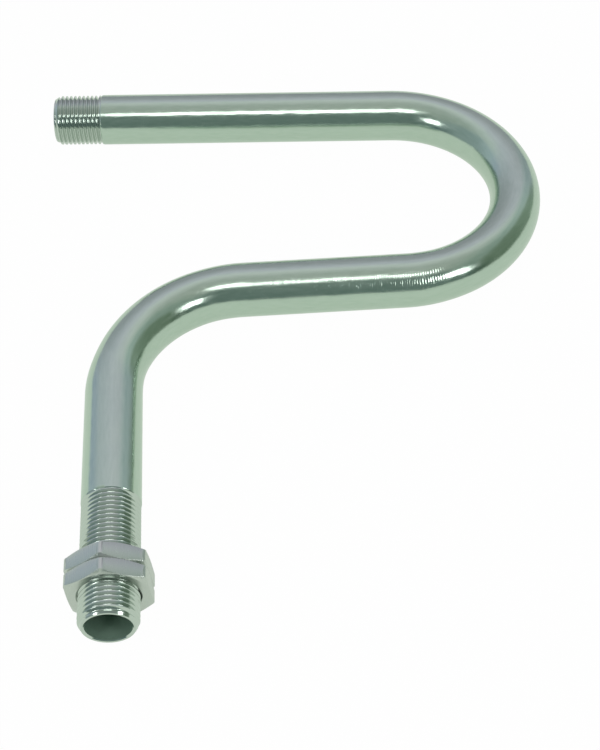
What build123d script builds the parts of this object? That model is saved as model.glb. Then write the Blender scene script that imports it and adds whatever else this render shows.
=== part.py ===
"""Pressure gauge siphon, U form, for a gauge on a horizontal tapping.

One length of half-inch pipe is bent through an elbow and a return bend, so that it holds a plug of
condensate in front of the gauge. Both ends are cut with a G 1/2 pipe thread. The process leg carries the
long thread and, on it, two thin locknuts jammed face to face. The gauge leg carries the short thread.

The siphon lies flat. The origin is the centre of the process leg's end face, the leg runs along +Y,
the return run goes along +X and the gauge leg comes back along -X. +Z is up. Millimetres throughout.

The threaded stretches are turned to the thread's major diameter, with their end chamfer and run-out,
and the nuts are bored to match. The helical grooves themselves are surface detail.
"""

from build123d import *
import os
from math import cos, radians, tan

# ---- The pipe ----
PIPE_DIAMETER = 21.3
PIPE_WALL = 2.6

# ---- The route, from the process end to the gauge end ----
PROCESS_LEG_LENGTH = 100.0  # straight, from the end face to the elbow
ELBOW_RADIUS = 50.0  # of the centreline
ELBOW_ANGLE = 90.0
RETURN_RUN_LENGTH = 64.0  # straight, between the two bends
RETURN_BEND_RADIUS = 50.0  # of the centreline
RETURN_BEND_ANGLE = 176.5  # formed a little short of a half turn, so the gauge leg opens outwards
GAUGE_LEG_LENGTH = 145.0  # straight, from the return bend to the end face

# ---- How far the pipe flattens where it is bent ----
ELBOW_FLATTENING = 0.05  # share of the diameter lost across the bend
RETURN_BEND_FLATTENING = 0.04
BULGE_SHARE = 0.35  # of the flattening, that the pipe gains square to the bend
BEND_TAPER = 18.0  # stretch at each end of a bend in which the section changes

# ---- The G 1/2 thread ----
THREAD_MAJOR_DIAMETER = 20.955
THREAD_MINOR_DIAMETER = 18.631
THREAD_PITCH = 1.814
PROCESS_THREAD_LENGTH = 52.0
GAUGE_THREAD_LENGTH = 20.5
END_FACE_RELIEF = 0.15  # how far inside the minor diameter the end chamfer starts
BORE_EDGE_BREAK = 0.35  # chamfer on the bore's mouth

# ---- The two locknuts ----
NUT_ACROSS_FLATS = 28.0
NUT_THICKNESS = 6.3
NUT_STANDOFF = 12.0  # from the process end face to the outer nut
NUT_THREAD_CLEARANCE = 0.05  # radial
NUT_CORNER_ANGLE = 25.0  # slope of the chamfer that trims the corners
NUT_FACE_INSET = 0.2  # how far inside the flats that chamfer starts
NUT_COUNTERSINK = 0.6  # 45 degree chamfer at each mouth of the nut's thread
INNER_NUT_TURN = 6.0  # degrees that the top corner is turned from straight up, towards -X
OUTER_NUT_TURN = 5.0

# ---- Worked out from the sizes above ----
PIPE_RADIUS = PIPE_DIAMETER / 2
BORE_RADIUS = PIPE_RADIUS - PIPE_WALL
THREAD_RADIUS = THREAD_MAJOR_DIAMETER / 2
END_FACE_RADIUS = THREAD_MINOR_DIAMETER / 2 - END_FACE_RELIEF


def centreline():
    """The five stretches of the route, each starting where the last one ends."""
    process_leg = Line((0, 0), (0, PROCESS_LEG_LENGTH))
    elbow = JernArc(process_leg @ 1, process_leg % 1, ELBOW_RADIUS, -ELBOW_ANGLE)
    return_run = Line(elbow @ 1, elbow @ 1 + (elbow % 1) * RETURN_RUN_LENGTH)
    return_bend = JernArc(return_run @ 1, return_run % 1, RETURN_BEND_RADIUS, RETURN_BEND_ANGLE)
    gauge_leg = Line(return_bend @ 1, return_bend @ 1 + (return_bend % 1) * GAUGE_LEG_LENGTH)
    return process_leg, elbow, return_run, return_bend, gauge_leg


def threaded_leg(end, inward, length, thread_length):
    """A straight, hollow leg turned about its own axis, threaded from its end face inwards."""
    run_out = THREAD_PITCH
    chamfer = THREAD_RADIUS - END_FACE_RADIUS
    profile = Polyline(
        (BORE_RADIUS + BORE_EDGE_BREAK, 0),
        (END_FACE_RADIUS, 0),
        (THREAD_RADIUS, chamfer),
        (THREAD_RADIUS, thread_length - run_out),
        (PIPE_RADIUS, thread_length),
        (PIPE_RADIUS, length),
        (BORE_RADIUS, length),
        (BORE_RADIUS, BORE_EDGE_BREAK),
        close=True,
    )
    turned = revolve(Plane.XZ * make_face(profile), axis=Axis.Z)
    return Plane(origin=end, z_dir=inward) * turned


def straight_pipe(line):
    """A plain hollow stretch between the two bends."""
    section = Circle(PIPE_RADIUS) - Circle(BORE_RADIUS)
    return extrude(Plane(origin=line @ 0, z_dir=line % 0) * section, line.length)


def bend(arc, flattening):
    """A hollow bend: its round section flattens, keeps that shape round the middle and rounds out again."""
    squeeze = PIPE_RADIUS * flattening
    taper = BEND_TAPER / arc.length

    def section(radius, share, flat):
        plane = Plane(origin=arc @ share, x_dir=(0, 0, 1), z_dir=arc % share)
        return plane * Ellipse(radius + BULGE_SHARE * squeeze * flat, radius - squeeze * flat)

    def swept(radius):
        start, flat_start = section(radius, 0, 0), section(radius, taper, 1)
        flat_end, end = section(radius, 1 - taper, 1), section(radius, 1, 0)
        return (
            sweep([start, flat_start], path=arc.trim(0, taper), multisection=True)
            + sweep(flat_start, path=arc.trim(taper, 1 - taper))
            + sweep([flat_end, end], path=arc.trim(1 - taper, 1), multisection=True)
        )

    return swept(PIPE_RADIUS) - swept(BORE_RADIUS)


def siphon_tube():
    """The pipe, in one piece: two threaded legs, two bends and the run between them."""
    process_leg, elbow, return_run, return_bend, gauge_leg = centreline()
    return (
        threaded_leg(process_leg @ 0, process_leg % 0, PROCESS_LEG_LENGTH, PROCESS_THREAD_LENGTH)
        + bend(elbow, ELBOW_FLATTENING)
        + straight_pipe(return_run)
        + bend(return_bend, RETURN_BEND_FLATTENING)
        + threaded_leg(gauge_leg @ 1, (gauge_leg % 1) * -1, GAUGE_LEG_LENGTH, GAUGE_THREAD_LENGTH)
    )


def locknut(standoff, turn):
    """A thin hexagon nut, corners trimmed on both faces, bored and countersunk for the thread."""
    across_corners = NUT_ACROSS_FLATS / cos(radians(30))
    face_radius = NUT_ACROSS_FLATS / 2 - NUT_FACE_INSET
    blank_radius = across_corners / 2 + NUT_FACE_INSET
    trim = (blank_radius - face_radius) * tan(radians(NUT_CORNER_ANGLE))
    bore_radius = THREAD_RADIUS + NUT_THREAD_CLEARANCE
    mouth_radius = bore_radius + NUT_COUNTERSINK
    turned_profile = Polyline(
        (mouth_radius, 0),
        (face_radius, 0),
        (blank_radius, trim),
        (blank_radius, NUT_THICKNESS - trim),
        (face_radius, NUT_THICKNESS),
        (mouth_radius, NUT_THICKNESS),
        (bore_radius, NUT_THICKNESS - NUT_COUNTERSINK),
        (bore_radius, NUT_COUNTERSINK),
        close=True,
    )
    turned = revolve(Plane.XZ * make_face(turned_profile), axis=Axis.Z)
    hexagon = RegularPolygon(NUT_ACROSS_FLATS / 2, 6, major_radius=False, rotation=-turn)
    nut = turned & extrude(hexagon, NUT_THICKNESS)
    return Plane(origin=(0, standoff, 0), x_dir=(0, 0, 1), z_dir=(0, 1, 0)) * nut


os.makedirs("parts", exist_ok=True)
export_step(siphon_tube(), "parts/siphon_tube.step")
export_step(locknut(NUT_STANDOFF, OUTER_NUT_TURN), "parts/outer_locknut.step")
export_step(locknut(NUT_STANDOFF + NUT_THICKNESS, INNER_NUT_TURN), "parts/inner_locknut.step")
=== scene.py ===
# %% [markdown]
# # A pressure gauge siphon
# A siphon is a bent pipe that screws into a steam line and carries a pressure gauge on its other end. Steam
# condenses in its U, and the water keeps the heat off the gauge. This lesson dresses one in Blender, and
# makes it as a workshop would: a straight pipe is threaded at both ends, bent twice, and given two locknuts.
#
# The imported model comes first. It holds the sizes, and everything made here has to sit inside it.

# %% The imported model
from math import asin, atan2, cos, degrees, hypot, pi, radians, sin, sqrt, tan

import bmesh
import bpy
from mathutils import Matrix, Vector


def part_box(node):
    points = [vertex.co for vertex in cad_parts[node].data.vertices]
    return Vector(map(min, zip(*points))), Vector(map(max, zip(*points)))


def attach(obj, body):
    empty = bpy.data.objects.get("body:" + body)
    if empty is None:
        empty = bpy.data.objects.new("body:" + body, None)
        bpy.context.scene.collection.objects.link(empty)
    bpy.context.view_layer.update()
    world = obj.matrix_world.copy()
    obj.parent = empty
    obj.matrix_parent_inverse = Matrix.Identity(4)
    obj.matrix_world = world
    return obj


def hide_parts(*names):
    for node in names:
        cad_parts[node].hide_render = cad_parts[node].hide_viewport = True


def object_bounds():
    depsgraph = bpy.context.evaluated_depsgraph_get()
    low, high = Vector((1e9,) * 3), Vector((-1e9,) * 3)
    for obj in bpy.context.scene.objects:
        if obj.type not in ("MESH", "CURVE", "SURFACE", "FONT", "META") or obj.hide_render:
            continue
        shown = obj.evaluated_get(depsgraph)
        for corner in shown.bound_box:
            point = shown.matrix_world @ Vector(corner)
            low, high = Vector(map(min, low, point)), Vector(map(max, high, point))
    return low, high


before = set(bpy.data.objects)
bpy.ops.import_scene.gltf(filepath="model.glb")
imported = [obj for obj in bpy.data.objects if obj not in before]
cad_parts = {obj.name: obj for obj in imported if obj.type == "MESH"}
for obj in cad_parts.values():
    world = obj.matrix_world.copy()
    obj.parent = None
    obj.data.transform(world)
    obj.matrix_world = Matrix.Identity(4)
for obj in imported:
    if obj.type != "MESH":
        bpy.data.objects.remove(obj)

cad_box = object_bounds()
print("pieces in the packed model:", ", ".join(sorted(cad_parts)))

# %% [markdown]
# ## Sizes
# Blender works in metres and a pipe fitter works in millimetres, so each size is given in millimetres and
# turned into metres once, here. The pipe is half-inch pipe, and its thread is G 1/2: 14 threads to the inch.

# %% Sizes of the pipe and its thread
MM = 0.001

PIPE_RADIUS = 21.3 / 2 * MM
PIPE_WALL = 2.6 * MM
BORE_RADIUS = PIPE_RADIUS - PIPE_WALL
BORE_EDGE_BREAK = 0.35 * MM  # chamfer on the bore's mouth

PROCESS_LEG = 100.0 * MM  # straight, from the end face to the elbow
ELBOW_RADIUS = 50.0 * MM
ELBOW_ANGLE = radians(90)
RETURN_RUN = 64.0 * MM  # straight, between the two bends
RETURN_BEND_RADIUS = 50.0 * MM
RETURN_BEND_ANGLE = radians(176.5)  # a little short of a half turn, so the gauge leg opens outwards
GAUGE_LEG = 145.0 * MM

ELBOW_FLATTENING = 0.05  # share of the diameter that the pipe loses across the bend
RETURN_BEND_FLATTENING = 0.04
BULGE_SHARE = 0.35  # of the flattening, that the pipe gains square to the bend
BEND_TAPER = 18.0 * MM  # at each end of a bend, where the section goes from round to flattened

THREAD_PITCH = 1.814 * MM
THREAD_MAJOR_RADIUS = 20.955 / 2 * MM
THREAD_MINOR_RADIUS = 18.631 / 2 * MM
END_FACE_RADIUS = THREAD_MINOR_RADIUS - 0.15 * MM  # the end chamfer starts a little inside the roots
PROCESS_THREAD = 50.0 * MM  # 2 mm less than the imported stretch, where a die barely cuts
GAUGE_THREAD = 20.5 * MM

elbow_length = ELBOW_RADIUS * ELBOW_ANGLE
return_bend_length = RETURN_BEND_RADIUS * RETURN_BEND_ANGLE
pipe_length = PROCESS_LEG + elbow_length + RETURN_RUN + return_bend_length + GAUGE_LEG
print(f"the pipe is {pipe_length / MM:.1f} mm long before it is bent")

# %% [markdown]
# ## Camera
# The siphon lies on a table and the camera looks down at it over the end of its process leg, from about
# 60 cm away. It is turned a little about its own axis. A camera in Blender looks along its own -Z, so its
# turn is worked out from where it stands and the direction in which it looks.

# %% Camera
CAMERA_PLACE = Vector((55.3, -269.6, 436.4)) * MM
CAMERA_LOOKS = Vector((0.0244, 0.6505, -0.7591))
CAMERA_RIGHT = Vector((0.998, -0.0603, -0.0195))
FRAME_HEIGHT = 36.0  # mm, of the film; the picture is upright, so this is its longer side
FOCAL_LENGTH = 73.9  # mm
NEAREST_DRAWN = 10 * MM

looks = CAMERA_LOOKS.normalized()
right = (CAMERA_RIGHT - CAMERA_RIGHT.dot(looks) * looks).normalized()
camera_turn = Matrix((right, right.cross(looks), -looks)).transposed()

camera_data = bpy.data.cameras.new("camera")
camera_data.lens = FOCAL_LENGTH
camera_data.sensor_width = FRAME_HEIGHT
camera_data.clip_start = NEAREST_DRAWN
camera = bpy.data.objects.new("camera", camera_data)
camera.matrix_world = Matrix.Translation(CAMERA_PLACE) @ camera_turn.to_4x4()
bpy.context.scene.collection.objects.link(camera)
bpy.context.scene.camera = camera
bpy.context.scene.view_settings.view_transform = "Standard"
print(f"the camera looks down {degrees(asin(-looks.z)):.0f} degrees")

# %% [markdown]
# ## The thread
# A thread is a groove that winds round the pipe, and a screw tool makes it: one pitch of the thread's section
# is swept round the axis and pushed along it at the same time. bmesh's spin does that when it is given an
# offset for each step. Where one turn ends the next begins, so merging the doubled points closes the surface.
#
# The section is the Whitworth form: flanks at 55 degrees to each other, with rounded roots and flat crests.

# %% One turn of the thread
FLANK_ANGLE = radians(27.5)  # of each flank, from square to the axis
ROUNDING = 0.1373 * THREAD_PITCH  # radius of the root arcs
CREST_FLAT = 0.3 * MM  # a die leaves the crests flatter than the standard draws them
STEPS_ROUND_PIPE = 96


def thread_section():
    """One pitch of the thread as points (distance along the axis, radius), from one root to the next."""
    depth = THREAD_MAJOR_RADIUS - THREAD_MINOR_RADIUS
    edge = ROUNDING * cos(FLANK_ANGLE)
    rise = ROUNDING * (1 - sin(FLANK_ANGLE))
    half_rise = ROUNDING * (1 - sqrt(1 - (edge / 2 / ROUNDING) ** 2))
    root = [(0.0, 0.0), (edge / 2, half_rise), (edge, rise)]
    crest = [(-edge, depth - rise), (-CREST_FLAT / 2, depth), (CREST_FLAT / 2, depth), (edge, depth - rise)]
    next_root = [(-edge, rise), (-edge / 2, half_rise), (0.0, 0.0)]
    points = []
    for centre, arc in ((0, root), (THREAD_PITCH / 2, crest), (THREAD_PITCH, next_root)):
        points += [(centre + along, THREAD_MINOR_RADIUS + up) for along, up in arc]
    return points


def one_turn():
    """The thread's surface through its first turn, from the origin along +Y."""
    bm = bmesh.new()
    verts = [bm.verts.new((radius, along, 0)) for along, radius in thread_section()]
    edges = [bm.edges.new(pair) for pair in zip(verts, verts[1:])]
    bmesh.ops.spin(
        bm, geom=verts + edges, cent=(0, 0, 0), axis=(0, 1, 0), dvec=(0, THREAD_PITCH / STEPS_ROUND_PIPE, 0),
        angle=2 * pi, steps=STEPS_ROUND_PIPE, use_duplicate=False)
    mesh = bpy.data.meshes.new("one_turn")
    bm.to_mesh(mesh)
    bm.free()
    return mesh


print(f"one pitch of the thread has {len(thread_section())} points")

# %% [markdown]
# The end of a threaded pipe isn't a bare screw. A chamfer leads into the thread, and at the other end the
# groove runs out to nothing, because the die's first teeth cut less. Both are cones: one that the thread may
# not stand out of, and one that it may not sink into. Past each end the screw is cut off square.

# %% A threaded stretch
LEAD_IN_SLOPE = tan(radians(32))  # of the end chamfer, from the axis
RUN_OUT_TURNS = 0.8  # over which the groove runs out
SPARE_TURNS = 2  # made past each end of the thread, and then cut off
MERGE_DISTANCE = 0.001 * MM  # points closer than this are one point
CUT_TOLERANCE = 1e-6 * MM  # points closer than this to a cutting plane lie on it


def radius_at(point):
    """How far a point is from the axis Y."""
    return hypot(point.x, point.z)


def set_radius(vertex, radius):
    """Move a vertex straight out from, or in towards, the axis Y."""
    here = radius_at(vertex.co)
    vertex.co.x *= radius / here
    vertex.co.z *= radius / here


def cut_square(bm, along, keep_above):
    """Cut the mesh at this distance along Y, and drop what lies on the other side."""
    bmesh.ops.bisect_plane(
        bm, geom=bm.verts[:] + bm.edges[:] + bm.faces[:], dist=CUT_TOLERANCE, plane_co=(0, along, 0),
        plane_no=(0, 1, 0), clear_inner=keep_above, clear_outer=not keep_above)


def threaded_stretch(length):
    """A screw thread from a chamfered end at the origin to its run-out at this length along +Y."""
    mesh = one_turn()
    mesh.transform(Matrix.Translation((0, -SPARE_TURNS * THREAD_PITCH, 0)))
    bm = bmesh.new()
    for _ in range(int(length / THREAD_PITCH) + 2 * SPARE_TURNS):
        bm.from_mesh(mesh)
        mesh.transform(Matrix.Translation((0, THREAD_PITCH, 0)))
    bmesh.ops.remove_doubles(bm, verts=bm.verts[:], dist=MERGE_DISTANCE)

    run_out = RUN_OUT_TURNS * THREAD_PITCH
    run_out_slope = (PIPE_RADIUS - THREAD_MINOR_RADIUS) / run_out
    for vertex in bm.verts:
        along = vertex.co.y
        least = THREAD_MINOR_RADIUS + run_out_slope * (along - length + run_out)
        most = END_FACE_RADIUS + LEAD_IN_SLOPE * along
        set_radius(vertex, min(max(radius_at(vertex.co), least), most))
    cut_square(bm, 0.0, keep_above=True)
    cut_square(bm, length, keep_above=False)
    bm.to_mesh(mesh)
    bm.free()
    return mesh


process_thread = threaded_stretch(PROCESS_THREAD)
gauge_thread = threaded_stretch(GAUGE_THREAD)
print("faces in the two threads:", len(process_thread.polygons), len(gauge_thread.polygons))

# %% [markdown]
# ## The straight pipe
# Outside and bore are each a ring of edges, extruded along the pipe. The rings are close together, so that
# the bends come out smooth. The outside is bridged to the inner end of each thread, and each end face is
# filled between its two rims, which closes the wall.

# %% Rings along the straight pipe
RING_SPACING = 2.5 * MM
RING_TOLERANCE = 0.02 * MM  # how far a ring's points may lie from its circle


def ring_places(first, last):
    """Distances along the pipe for its rings, evenly spaced between the two ends."""
    count = round((last - first) / RING_SPACING)
    return [first + (last - first) * number / count for number in range(count + 1)]


def first_ring(bm, along, radius):
    """A ring of edges round Y, ready to be extruded."""
    upright = Matrix.Translation((0, along, 0)) @ Matrix.Rotation(pi / 2, 4, "X")
    made = bmesh.ops.create_circle(
        bm, cap_ends=False, segments=STEPS_ROUND_PIPE, radius=radius, matrix=upright)
    ring = set(made["verts"])
    return [edge for edge in bm.edges if set(edge.verts) <= ring]


def extrude_ring(bm, edges, along, radius):
    """Extrude a ring of edges, and put the new ring at this distance along Y with this radius."""
    made = bmesh.ops.extrude_edge_only(bm, edges=edges)["geom"]
    for vertex in (item for item in made if isinstance(item, bmesh.types.BMVert)):
        vertex.co.y = along
        set_radius(vertex, radius)
    return [item for item in made if isinstance(item, bmesh.types.BMEdge)]


def open_ring(bm, along, radius):
    """The open edges that lie on a circle at this distance along Y."""
    def on_circle(vertex):
        off_circle = abs(radius_at(vertex.co) - radius)
        return abs(vertex.co.y - along) < MERGE_DISTANCE and off_circle < RING_TOLERANCE

    return [edge for edge in bm.edges if edge.is_boundary and all(map(on_circle, edge.verts))]


print("rings along the outside:", len(ring_places(PROCESS_THREAD, pipe_length - GAUGE_THREAD)))

# %% [markdown]
# The two threads are joined to a plain outside, and the bore runs through everything. The gauge's thread was
# made like the other one, from the origin up, so it is turned end for end and moved to the far end.

# %% The straight pipe, threaded and closed
JOIN_LENGTH = 1.0 * MM  # plain pipe between a thread's run-out and the first full ring


def straight_pipe():
    """The whole pipe before it is bent, along +Y from its process end."""
    bm = bmesh.new()
    outside_start = PROCESS_THREAD + JOIN_LENGTH
    outside_end = pipe_length - GAUGE_THREAD - JOIN_LENGTH
    ring = first_ring(bm, outside_start, PIPE_RADIUS)
    for along in ring_places(outside_start, outside_end)[1:]:
        ring = extrude_ring(bm, ring, along, PIPE_RADIUS)

    mouth_radius = BORE_RADIUS + BORE_EDGE_BREAK
    ring = first_ring(bm, 0.0, mouth_radius)
    for along in ring_places(BORE_EDGE_BREAK, pipe_length - BORE_EDGE_BREAK):
        ring = extrude_ring(bm, ring, along, BORE_RADIUS)
    extrude_ring(bm, ring, pipe_length, mouth_radius)

    bm.from_mesh(process_thread)
    gauge_thread.transform(Matrix.Translation((0, pipe_length, 0)) @ Matrix.Rotation(pi, 4, "X"))
    bm.from_mesh(gauge_thread)
    joins = ((PROCESS_THREAD, outside_start), (pipe_length - GAUGE_THREAD, outside_end))
    for thread_end, ring_place in joins:
        rims = open_ring(bm, thread_end, PIPE_RADIUS) + open_ring(bm, ring_place, PIPE_RADIUS)
        bmesh.ops.bridge_loops(bm, edges=rims)
    for end in (0.0, pipe_length):
        rims = open_ring(bm, end, END_FACE_RADIUS) + open_ring(bm, end, mouth_radius)
        bmesh.ops.triangle_fill(bm, edges=rims, use_beauty=True)
    bmesh.ops.recalc_face_normals(bm, faces=bm.faces[:])
    return bm


pipe_bm = straight_pipe()
open_edges = sum(1 for edge in pipe_bm.edges if not edge.is_manifold)
print("faces in the straight pipe:", len(pipe_bm.faces), "open edges:", open_edges)

# %% [markdown]
# ## Bending the pipe
# A pipe bender draws the pipe round a former, and the wall follows: what lay on the inside of the bend stays
# on the inside. So every point of the straight pipe has one place on the bent pipe, and moving each point
# there bends it. The section also flattens a little in each bend and bulges square to it.

# %% Where each point goes
def squeezed(across, up, along, length, flattening):
    """The two offsets from the pipe's axis, at this distance along a bend of this length."""
    taper = min(1.0, along / BEND_TAPER, (length - along) / BEND_TAPER)
    squeeze = PIPE_RADIUS * flattening * sin(taper * pi / 2) ** 2
    radius = hypot(across, up)
    return across * (1 - squeeze / radius), up * (1 + BULGE_SHARE * squeeze / radius)


def bent(point):
    """Where a point of the straight pipe lies once the pipe is bent."""
    across, along, up = point
    if along <= PROCESS_LEG:
        return Vector((across, along, up))
    along -= PROCESS_LEG
    if along <= elbow_length:
        across, up = squeezed(across, up, along, elbow_length, ELBOW_FLATTENING)
        angle = along / ELBOW_RADIUS
        reach = ELBOW_RADIUS - across
        return Vector((ELBOW_RADIUS - reach * cos(angle), PROCESS_LEG + reach * sin(angle), up))
    along -= elbow_length
    run_y = PROCESS_LEG + ELBOW_RADIUS
    if along <= RETURN_RUN:
        return Vector((ELBOW_RADIUS + along, run_y - across, up))
    along -= RETURN_RUN
    centre = Vector((ELBOW_RADIUS + RETURN_RUN, run_y + RETURN_BEND_RADIUS, 0))
    if along <= return_bend_length:
        across, up = squeezed(across, up, along, return_bend_length, RETURN_BEND_FLATTENING)
        angle = along / RETURN_BEND_RADIUS
        reach = RETURN_BEND_RADIUS + across
        return centre + Vector((reach * sin(angle), -reach * cos(angle), up))
    along -= return_bend_length
    outwards = Vector((sin(RETURN_BEND_ANGLE), -cos(RETURN_BEND_ANGLE), 0))
    onwards = Vector((cos(RETURN_BEND_ANGLE), sin(RETURN_BEND_ANGLE), 0))
    return centre + outwards * (RETURN_BEND_RADIUS + across) + onwards * along + Vector((0, 0, up))


print("the gauge end is at", tuple(round(value / MM, 1) for value in bent((0, pipe_length, 0))))

# %% [markdown]
# The straight place of each point is kept on the mesh as the attribute `unbent`. The die's marks run along
# the pipe and round its bends, so the steel's pattern is laid out on the straight pipe.
#
# Smooth shading blends the light across each edge. An edge that is sharp on the real piece is marked, and
# the blend stops there.

# %% The bent pipe
PIPE_SHARP_ANGLE = radians(40)


def mark_sharp_edges(bm, angle):
    """Shade every face smooth, but keep the edges that turn by more than this angle."""
    for face in bm.faces:
        face.smooth = True
    for edge in bm.edges:
        edge.smooth = edge.is_manifold and edge.calc_face_angle() < angle


def piece_from(bm, name):
    """A mesh object made from a bmesh, at the origin."""
    mesh = bpy.data.meshes.new(name)
    bm.to_mesh(mesh)
    bm.free()
    piece = bpy.data.objects.new(name, mesh)
    bpy.context.scene.collection.objects.link(piece)
    return piece


mark_sharp_edges(pipe_bm, PIPE_SHARP_ANGLE)
unbent = [vertex.co.copy() for vertex in pipe_bm.verts]
for vertex in pipe_bm.verts:
    vertex.co = bent(vertex.co)
pipe = piece_from(pipe_bm, "bent_pipe")
straight_place = pipe.data.attributes.new("unbent", "FLOAT_VECTOR", "POINT")
straight_place.data.foreach_set("vector", [value for place in unbent for value in place])
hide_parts("siphon_tube")
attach(pipe, "tube")
print(pipe.name, len(pipe.data.polygons), "faces")

# %% [markdown]
# ## The locknuts
# Each nut was sawn from hexagon bar and turned: both faces are flat, the corners are trimmed by a shallow
# cone, and the thread's mouths are countersunk. Here a ring is extruded through each of those stations in
# turn, as a lathe's profile would be, with one difference: on the flats the ring is the hexagon's outline.

# %% Sizes of the locknuts
NUT_ACROSS_FLATS = 28.0 * MM
NUT_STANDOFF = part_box("outer_locknut")[0].y
NUT_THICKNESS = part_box("outer_locknut")[1].y - NUT_STANDOFF
NUT_CORNER_SLOPE = tan(radians(25))
NUT_FACE_RADIUS = NUT_ACROSS_FLATS / 2 - 0.2 * MM  # the flat face ends here, just inside the flats
NUT_BORE_RADIUS = THREAD_MAJOR_RADIUS + 0.05 * MM  # clear of the thread, so that the nut can slide
NUT_COUNTERSINK = 0.6 * MM
INNER_NUT_TURN = radians(6.0)
OUTER_NUT_TURN = radians(5.0)
NUT_EDGE_BREAK = 0.15 * MM  # how far the burr was taken off each outer edge
BAR_CORNER_BREAK = 0.7 * MM  # the hexagon bar's own corners are rounded when it is drawn
NUT_EDGE_ANGLE = radians(14)  # an outer edge that turns by more than this is bevelled
NUT_SHARP_ANGLE = radians(32)
BEVEL_SEGMENTS = 2
print(f"each nut is {NUT_THICKNESS / MM:.1f} mm thick, the outer one {NUT_STANDOFF / MM:.1f} mm from the end")

# %% [markdown]
# The bevels come last. The long edges between two flats are the bar's own corners, and the other outer edges
# were cut by the tool.

# %% The locknuts
def hexagon_radius(angle):
    """Distance from the axis to the hexagon's outline, at this angle from a corner."""
    return NUT_ACROSS_FLATS / 2 / cos((angle % radians(60)) - radians(30))


def extrude_outline(bm, edges, along, turn, trim):
    """Extrude a ring to the hexagon's outline. Trim is 1 or -1: the side that the corner cone eats from."""
    edges = extrude_ring(bm, edges, along, NUT_FACE_RADIUS)
    for vertex in {vertex for edge in edges for vertex in edge.verts}:
        reach = hexagon_radius(atan2(-vertex.co.x, vertex.co.z) - turn)
        vertex.co.y = along + trim * max(0.0, reach - NUT_FACE_RADIUS) * NUT_CORNER_SLOPE
        set_radius(vertex, reach)
    return edges


def break_outer_edges(bm):
    """Round the bar's corners, and bevel the other outer edges a little."""
    outer = [edge for edge in bm.edges if edge.calc_face_angle() > NUT_EDGE_ANGLE
             and all(radius_at(vertex.co) > NUT_FACE_RADIUS - RING_TOLERANCE / 2 for vertex in edge.verts)]
    corners = [edge for edge in outer if abs(edge.verts[0].co.y - edge.verts[1].co.y) > NUT_THICKNESS / 2]
    turned = [edge for edge in outer if edge not in corners]
    for edges, offset in ((corners, BAR_CORNER_BREAK), (turned, NUT_EDGE_BREAK)):
        bmesh.ops.bevel(
            bm, geom=[edge for edge in edges if edge.is_valid], offset=offset, offset_type="OFFSET",
            affect="EDGES", segments=BEVEL_SEGMENTS, profile=0.5, material=-1, clamp_overlap=True)


def locknut(name, standoff, turn):
    """One locknut, its outer face at this distance along +Y and a corner turned this far from the top."""
    bm = bmesh.new()
    near, far = standoff, standoff + NUT_THICKNESS
    mouth = NUT_BORE_RADIUS + NUT_COUNTERSINK
    edges = first_ring(bm, near + NUT_COUNTERSINK, NUT_BORE_RADIUS)
    bmesh.ops.rotate(bm, verts=bm.verts[:], cent=(0, 0, 0), matrix=Matrix.Rotation(-turn, 3, "Y"))
    for radius in (mouth, NUT_FACE_RADIUS):
        edges = extrude_ring(bm, edges, near, radius)
    for along, trim in ((near, 1), (far, -1)):
        edges = extrude_outline(bm, edges, along, turn, trim)
    for radius in (NUT_FACE_RADIUS, mouth):
        edges = extrude_ring(bm, edges, far, radius)
    for along in (far - NUT_COUNTERSINK, near + NUT_COUNTERSINK):
        edges = extrude_ring(bm, edges, along, NUT_BORE_RADIUS)
    bmesh.ops.remove_doubles(bm, verts=bm.verts[:], dist=MERGE_DISTANCE)
    bmesh.ops.recalc_face_normals(bm, faces=bm.faces[:])
    break_outer_edges(bm)
    mark_sharp_edges(bm, NUT_SHARP_ANGLE)
    return piece_from(bm, name)


nuts = {
    "outer_locknut": locknut("outer_nut", NUT_STANDOFF, OUTER_NUT_TURN),
    "inner_locknut": locknut("inner_nut", NUT_STANDOFF + NUT_THICKNESS, INNER_NUT_TURN),
}
for node, nut in nuts.items():
    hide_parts(node)
    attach(nut, node.replace("lock", ""))
    print(nut.name, len(nut.data.polygons), "faces")

# %% [markdown]
# ## Materials
# One function turns a colour as a painter would mix it on a screen into the linear light that a shader wants,
# and another adds a node with its settings and its links.

# %% Helpers for materials
# A Mix node has sockets of one name for numbers, vectors and colours, so its colours go by place.
MIX_FIRST, MIX_SECOND, MIX_RESULT = 6, 7, 2
NOISE_LOW, NOISE_HIGH = 0.3, 0.7  # nearly all of a noise texture lies between these


def linear(code):
    """The linear colour of an sRGB hex code such as #c0c8c2."""
    shares = [int(code[start:start + 2], 16) / 255 for start in (1, 3, 5)]
    light = [share / 12.92 if share <= 0.04045 else ((share + 0.055) / 1.055) ** 2.4 for share in shares]
    return (*light, 1.0)


def add(tree, kind, inputs=None, **settings):
    """Add a node, make its settings, and set or link its inputs."""
    node = tree.nodes.new(kind)
    for name, value in settings.items():
        setattr(node, name, value)
    for name, value in (inputs or {}).items():
        if isinstance(value, bpy.types.NodeSocket):
            tree.links.new(value, node.inputs[name])
        else:
            node.inputs[name].default_value = value
    return node


def new_material(name):
    """A material and its empty node tree."""
    material = bpy.data.materials.new(name)
    material.use_nodes = True
    material.node_tree.nodes.clear()
    return material, material.node_tree


print("a colour half way up the screen's scale gives", round(linear("#808080")[0], 2), "of the light")

# %% [markdown]
# ### Bright drawn stainless steel
# Stainless pipe leaves the die bright, so it mirrors the room. What tells it from chrome plate is that the
# mirror isn't perfect: the die leaves faint marks along the pipe, and the surface swells and dips by a few
# hundredths of a millimetre, which makes the reflected edges waver. The marks are drawn several times as
# wide as real ones, which would be too fine to show.
#
# The bender's clamp leaves a ripple of its own. It shows on the outer side of the run between the bends,
# and fades out at the clamp's edges.

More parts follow.
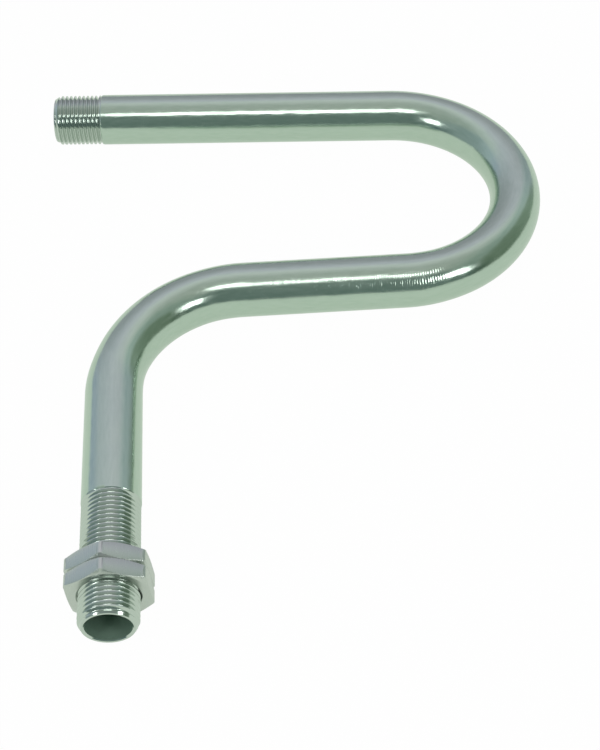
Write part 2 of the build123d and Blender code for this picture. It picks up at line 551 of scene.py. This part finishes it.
# %% Where the bender's clamp held the pipe
CLAMP_START = PROCESS_LEG + elbow_length - 4 * MM
CLAMP_END = PROCESS_LEG + elbow_length + RETURN_RUN + 16 * MM
CLAMP_FADE = 8 * MM
CLAMP_SIDE = (2 * MM, 6 * MM)  # how far out from the axis its grip starts, and is full


def add_clamp_share(tree, place):
    """1 where the bender's clamp held the pipe, on the outer side of the return run, and 0 elsewhere."""
    split = add(tree, "ShaderNodeSeparateXYZ", {"Vector": place})
    edges = (("Y", CLAMP_START, CLAMP_START + CLAMP_FADE), ("Y", CLAMP_END, CLAMP_END - CLAMP_FADE),
             ("X", *CLAMP_SIDE))
    share = 1.0
    for axis, zero, one in edges:
        edge = add(tree, "ShaderNodeMapRange", {
            "Value": split.outputs[axis], "From Min": zero, "From Max": one}, interpolation_type="SMOOTHSTEP")
        product = add(tree, "ShaderNodeMath", {0: share, 1: edge.outputs["Result"]}, operation="MULTIPLY")
        share = product.outputs[0]
    return share


print(f"the clamp held {(CLAMP_END - CLAMP_START) / MM:.0f} mm of the pipe")

# %% Bright drawn stainless steel
MARK_WIDTH, MARK_LENGTH, MARK_DEPTH = 0.9 * MM, 5.0 * MM, 0.016 * MM
SWELL_LENGTH, SWELL_DEPTH = 9.0 * MM, 0.10 * MM  # the noise uses less than half of its depth
RIPPLE_LENGTH, RIPPLE_DEPTH = 0.9 * MM, 0.05 * MM
WAVE_LENGTH = pi / 10  # of a wave texture at scale 1


def drawn_stainless():
    material, tree = new_material("bright_drawn_stainless_steel")
    unbent_place = add(tree, "ShaderNodeAttribute", attribute_type="GEOMETRY", attribute_name="unbent")
    place = unbent_place.outputs["Vector"]
    along_pipe = add(tree, "ShaderNodeMapping", {
        "Vector": place, "Scale": (1 / MARK_WIDTH, 1 / MARK_LENGTH, 1 / MARK_WIDTH)})
    marks = add(tree, "ShaderNodeTexNoise", {
        "Vector": along_pipe.outputs["Vector"], "Scale": 1.0, "Detail": 3.0})
    swelling = add(tree, "ShaderNodeTexNoise", {"Vector": place, "Scale": 1 / SWELL_LENGTH, "Detail": 1.0})
    ripple = add(tree, "ShaderNodeTexWave", {
        "Vector": place, "Scale": WAVE_LENGTH / RIPPLE_LENGTH, "Distortion": 3.0, "Detail": 2.0,
        "Detail Scale": 1.5}, bands_direction="Y")
    colour = add(tree, "ShaderNodeMix", {
        0: marks.outputs["Fac"], MIX_FIRST: linear("#b4c6b8"), MIX_SECOND: linear("#c5d3c8")},
        data_type="RGBA")
    roughness = add(tree, "ShaderNodeMapRange", {
        "Value": marks.outputs["Fac"], "From Min": NOISE_LOW, "From Max": NOISE_HIGH, "To Min": 0.14,
        "To Max": 0.22})
    normal = None
    for height, strength, depth in ((swelling, 1.0, SWELL_DEPTH), (marks, 1.0, MARK_DEPTH),
                                    (ripple, add_clamp_share(tree, place), RIPPLE_DEPTH)):
        inputs = {"Height": height.outputs["Fac"], "Strength": strength, "Distance": depth}
        if normal:
            inputs["Normal"] = normal
        normal = add(tree, "ShaderNodeBump", inputs).outputs["Normal"]
    steel = add(tree, "ShaderNodeBsdfPrincipled", {
        "Base Color": colour.outputs[MIX_RESULT], "Metallic": 1.0, "Roughness": roughness.outputs["Result"],
        "Normal": normal})
    add(tree, "ShaderNodeOutputMaterial", {"Surface": steel.outputs["BSDF"]})
    return material


drawn_steel = drawn_stainless()
print(drawn_steel.name, "has", len(drawn_steel.node_tree.nodes), "nodes")

# %% [markdown]
# ### The dull bore
# The die doesn't polish the inside of the pipe, and steam will stain it. The eye gets a soft, greenish grey
# that mirrors nothing, in blotches of a few millimetres. So it is only partly metallic, and rough.

# %% The dull bore
BLOTCH = 3 * MM


def dull_bore():
    material, tree = new_material("dull_bore_of_drawn_pipe")
    place = add(tree, "ShaderNodeTexCoord")
    blotches = add(tree, "ShaderNodeTexNoise", {
        "Vector": place.outputs["Object"], "Scale": 1 / BLOTCH, "Detail": 3.0})
    roughness = add(tree, "ShaderNodeMapRange", {
        "Value": blotches.outputs["Fac"], "To Min": 0.5, "To Max": 0.7})
    steel = add(tree, "ShaderNodeBsdfPrincipled", {
        "Base Color": linear("#8fa999"), "Metallic": 0.6, "Roughness": roughness.outputs["Result"]})
    add(tree, "ShaderNodeOutputMaterial", {"Surface": steel.outputs["BSDF"]})
    return material


bore_steel = dull_bore()
print(bore_steel.name, "has", len(bore_steel.node_tree.nodes), "nodes")

# %% [markdown]
# ### The cut thread
# A sharp die leaves flanks that are brighter than the drawn pipe, because the metal there is freshly cut.
# Each groove then throws back its own small, hard highlight. Torn specks, about a millimetre across, vary
# how sharp it is.

# %% The cut thread
TEAR = 0.8 * MM


def cut_thread():
    material, tree = new_material("die_cut_stainless_thread")
    unbent_place = add(tree, "ShaderNodeAttribute", attribute_type="GEOMETRY", attribute_name="unbent")
    place = unbent_place.outputs["Vector"]
    tears = add(tree, "ShaderNodeTexNoise", {"Vector": place, "Scale": 1 / TEAR, "Detail": 2.0})
    roughness = add(tree, "ShaderNodeMapRange", {
        "Value": tears.outputs["Fac"], "From Min": NOISE_LOW, "From Max": NOISE_HIGH, "To Min": 0.10,
        "To Max": 0.16})
    steel = add(tree, "ShaderNodeBsdfPrincipled", {
        "Base Color": linear("#c6cfc8"), "Metallic": 1.0, "Roughness": roughness.outputs["Result"]})
    add(tree, "ShaderNodeOutputMaterial", {"Surface": steel.outputs["BSDF"]})
    return material


thread_steel = cut_thread()
print(thread_steel.name, "has", len(thread_steel.node_tree.nodes), "nodes")

# %% [markdown]
# ### Which face has which finish
# A mesh keeps a list of materials, and each face holds a place in that list. Where a face was on the straight
# pipe tells what made it: a small radius is bore, and near an end it is thread.

# %% Which face has which finish
DRAWN, BORE, THREAD = range(3)


def finish_number(polygon):
    """The place of a face's finish in the pipe's list of materials."""
    places = [unbent[number] for number in polygon.vertices]
    if max(map(radius_at, places)) < BORE_RADIUS + BORE_EDGE_BREAK / 2:
        return BORE
    on_thread = all(place.y < PROCESS_THREAD or place.y > pipe_length - GAUGE_THREAD for place in places)
    return THREAD if on_thread else DRAWN


for material in (drawn_steel, bore_steel, thread_steel):
    pipe.data.materials.append(material)
for polygon in pipe.data.polygons:
    polygon.material_index = finish_number(polygon)
print("materials on the pipe:", [material.name for material in pipe.data.materials])

# %% [markdown]
# ### Turned stainless steel
# The nuts are cut from bar and get no polish. The bar's own grain runs along the nut's axis and blurs the
# room into an even satin grey, so each flat reads as one tone and the hexagon shows clearly. Real grain is
# finer than a tenth of a millimetre, and is drawn coarser here so that it shows.

# %% Turned stainless steel
GRAIN_WIDTH, GRAIN_LENGTH, GRAIN_DEPTH = 0.25 * MM, 6 * MM, 0.01 * MM


def turned_stainless():
    material, tree = new_material("turned_stainless_steel")
    place = add(tree, "ShaderNodeTexCoord")
    along_nut = add(tree, "ShaderNodeMapping", {
        "Vector": place.outputs["Object"], "Scale": (1 / GRAIN_WIDTH, 1 / GRAIN_LENGTH, 1 / GRAIN_WIDTH)})
    grain = add(tree, "ShaderNodeTexNoise", {
        "Vector": along_nut.outputs["Vector"], "Scale": 1.0, "Detail": 2.0})
    roughness = add(tree, "ShaderNodeMapRange", {
        "Value": grain.outputs["Fac"], "From Min": NOISE_LOW, "From Max": NOISE_HIGH, "To Min": 0.26,
        "To Max": 0.36})
    bump = add(tree, "ShaderNodeBump", {
        "Height": grain.outputs["Fac"], "Strength": 0.5, "Distance": GRAIN_DEPTH})
    steel = add(tree, "ShaderNodeBsdfPrincipled", {
        "Base Color": linear("#c8cdc8"), "Metallic": 1.0, "Roughness": roughness.outputs["Result"],
        "Normal": bump.outputs["Normal"]})
    add(tree, "ShaderNodeOutputMaterial", {"Surface": steel.outputs["BSDF"]})
    return material


nut_steel = turned_stainless()
for nut in nuts.values():
    nut.data.materials.append(nut_steel)
print(nut_steel.name, "is on", ", ".join(nut.name for nut in nuts.values()))

# %% [markdown]
# ## Table, room and lamps
# Polished steel has no colour of its own to speak of: what it shows is the room. The siphon lies on a pale
# table, which fills the lower half of every reflection. A Light Path node tells which kind of ray has met
# the table: the camera sees it nearly white, with a trace of paint left that takes the shadow, and
# the steel sees it pale green.

# %% The table
TABLE_HALF_SIDE = 3.0
SEEN_WHITE_SHARE = 0.985
MIRRORED_SHARE = 0.7
MIRRORED_STRENGTH = 1.22


def pale_table():
    material, tree = new_material("pale_table")
    rays = add(tree, "ShaderNodeLightPath")
    paint = add(tree, "ShaderNodeBsdfDiffuse", {"Color": linear("#e4e8e2")})
    white = add(tree, "ShaderNodeEmission", {"Color": linear("#ffffff"), "Strength": 1.0})
    pale = add(tree, "ShaderNodeEmission", {"Color": linear("#dbe4d8"), "Strength": MIRRORED_STRENGTH})
    views = (("Is Camera Ray", SEEN_WHITE_SHARE, white), ("Is Glossy Ray", MIRRORED_SHARE, pale))
    surface = paint
    for kind, share, seen in views:
        factor = add(tree, "ShaderNodeMath", {0: rays.outputs[kind], 1: share}, operation="MULTIPLY")
        surface = add(tree, "ShaderNodeMixShader", {
            0: factor.outputs[0], 1: surface.outputs[0], 2: seen.outputs[0]})
    add(tree, "ShaderNodeOutputMaterial", {"Surface": surface.outputs[0]})
    return material


table_bm = bmesh.new()
bmesh.ops.create_grid(table_bm, x_segments=1, y_segments=1, size=TABLE_HALF_SIDE)
table = piece_from(table_bm, "table")
table.location.z = cad_box[0].z
table.data.materials.append(pale_table())
print(f"the table is {2 * TABLE_HALF_SIDE:.0f} m wide, {-table.location.z / MM:.1f} mm below the pipe's axis")

# %% [markdown]
# Above the table the room is a soft grey on the far side and dark behind the camera. Two colour ramps make
# it, one from near to far and one from left to right, and their colours are multiplied. Only the steel sees
# them: where the camera looks past the table it sees plain white.

# %% The room
NEAR_TO_FAR = (  # direction from -1 to 1, and the linear colour there
    (-0.60, (0.19, 0.25, 0.235)), (-0.32, (0.50, 0.53, 0.50)), (0.15, (0.56, 0.59, 0.57)),
    (0.47, (0.80, 0.81, 0.83)), (0.66, (0.70, 0.68, 0.80)), (0.85, (0.51, 0.50, 0.57)),
    (1.0, (0.40, 0.40, 0.45)))
LEFT_TO_RIGHT = (
    (-0.76, (0.64, 0.74, 0.80)), (-0.60, (0.84, 0.89, 0.88)), (0.0, (1.0, 1.0, 1.0)),
    (0.38, (0.94, 0.94, 0.93)), (0.53, (0.80, 0.87, 0.83)), (0.62, (0.62, 0.73, 0.69)),
    (0.73, (0.66, 0.76, 0.72)), (0.79, (0.38, 0.48, 0.38)))


def room_ramp(tree, coordinate, stops):
    """Colours along one direction of the room, from -1 to 1."""
    share = add(tree, "ShaderNodeMapRange", {"Value": coordinate, "From Min": -1.0, "From Max": 1.0})
    ramp = add(tree, "ShaderNodeValToRGB", {"Fac": share.outputs["Result"]})
    elements = ramp.color_ramp.elements
    for number, (place, colour) in enumerate(stops):
        element = elements[number] if number < 2 else elements.new(1)
        element.position = (place + 1) / 2
        element.color = (*colour, 1.0)
    return ramp.outputs["Color"]


def light_room():
    """The world: the two ramps for the steel, and white for the camera."""
    world = bpy.data.worlds.new("room")
    world.use_nodes = True
    tree = world.node_tree
    tree.nodes.clear()
    direction = add(tree, "ShaderNodeTexCoord")
    split = add(tree, "ShaderNodeSeparateXYZ", {"Vector": direction.outputs["Generated"]})
    colour = add(tree, "ShaderNodeMix", {
        0: 1.0, MIX_FIRST: room_ramp(tree, split.outputs["Y"], NEAR_TO_FAR),
        MIX_SECOND: room_ramp(tree, split.outputs["X"], LEFT_TO_RIGHT)},
        data_type="RGBA", blend_type="MULTIPLY")
    rays = add(tree, "ShaderNodeLightPath")
    room = add(tree, "ShaderNodeBackground", {"Color": colour.outputs[MIX_RESULT], "Strength": 1.0})
    white = add(tree, "ShaderNodeBackground", {"Color": linear("#ffffff"), "Strength": 1.0})
    seen = add(tree, "ShaderNodeMixShader", {
        0: rays.outputs["Is Camera Ray"], 1: room.outputs[0], 2: white.outputs[0]})
    add(tree, "ShaderNodeOutputWorld", {"Surface": seen.outputs[0]})
    return world


bpy.context.scene.world = light_room()
print(f"the room has {len(NEAR_TO_FAR)} colours from near to far, {len(LEFT_TO_RIGHT)} from left to right")

# %% [markdown]
# One long tube lamp over the table draws the thin white line along the legs. Two square lamps stand to the
# left and the right of the camera, and light the ends of the pipe and the faces of the nuts.

# %% The lamps
def lamp(name, direction, distance, width, height, radiance):
    """An area lamp in this direction from the siphon, facing it. Sizes are in metres."""
    data = bpy.data.lights.new(name, "AREA")
    data.shape = "RECTANGLE"
    data.size = width
    data.size_y = height
    data.energy = radiance * pi * width * height
    away = Vector(direction).normalized()
    lamp_object = bpy.data.objects.new(name, data)
    lamp_object.location = (cad_box[0] + cad_box[1]) / 2 + away * distance
    lamp_object.rotation_euler = away.to_track_quat("Z", "Y").to_euler()
    bpy.context.scene.collection.objects.link(lamp_object)
    print(f"{name} gives {data.energy:.2f} W")


lamp("tube_lamp", direction=(0.0, -0.37, 0.93), distance=1.2, width=0.60, height=0.22, radiance=4.0)
lamp("left_lamp", direction=(-0.63, -0.59, 0.50), distance=1.3, width=0.35, height=0.35, radiance=6.0)
lamp("right_lamp", direction=(0.62, -0.62, 0.47), distance=1.3, width=0.35, height=0.35, radiance=6.0)
